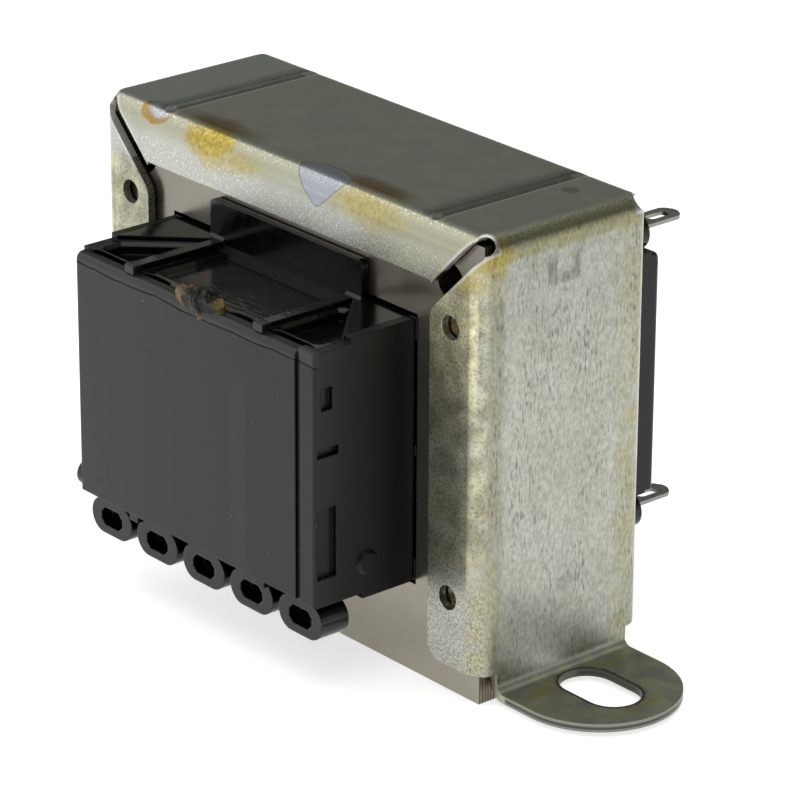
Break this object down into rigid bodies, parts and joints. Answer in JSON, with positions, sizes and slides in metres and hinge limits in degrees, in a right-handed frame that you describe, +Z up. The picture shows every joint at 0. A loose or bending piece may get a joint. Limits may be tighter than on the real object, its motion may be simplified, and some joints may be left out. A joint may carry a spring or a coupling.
{
  "type": "chassis mount transformer",
  "caption": "Chassis mount transformer: laminated core in a folded steel clamp with slotted feet, a black moulded coil cover front and rear, and solder tags at the rear.",
  "frame": {"origin": "on the core's underside, midway between the two fixing slots", "axes": "+X along the line of the fixing slots, +Y towards the solder tags, +Z up from the mounting surface"},
  "size_m": [0.082, 0.048, 0.0461],
  "materials": {
    "clamp_steel": "satin",
    "core_steel": "satin",
    "bobbin_plastic": "gloss",
    "cover_plastic": "satin",
    "tag_metal": "satin",
    "copper_wire": "gloss",
    "tape": "satin"
  },
  "bodies": {
    "root": {"frame": "clamp_steel", "e_laminations": "core_steel", "i_laminations": "core_steel", "bobbin": "bobbin_plastic", "front_cover": "cover_plastic", "rear_cover": "cover_plastic", "primary_winding": "copper_wire", "primary_tape": "tape", "secondary_winding_inner": "copper_wire", "secondary_interlayer_tape": "tape", "secondary_winding_outer": "copper_wire", "secondary_tape": "tape", "primary_tag_1": "tag_metal", "secondary_tag_1": "tag_metal", "primary_lead_1": "copper_wire", "secondary_lead_1": "copper_wire", "primary_tag_2": "tag_metal", "secondary_tag_2": "tag_metal", "primary_lead_2": "copper_wire", "secondary_lead_2": "copper_wire", "primary_tag_3": "tag_metal", "secondary_tag_3": "tag_metal", "primary_lead_3": "copper_wire", "secondary_lead_3": "copper_wire", "primary_tag_4": "tag_metal", "secondary_tag_4": "tag_metal", "primary_lead_4": "copper_wire", "secondary_lead_4": "copper_wire"}
  },
  "joints": []
}
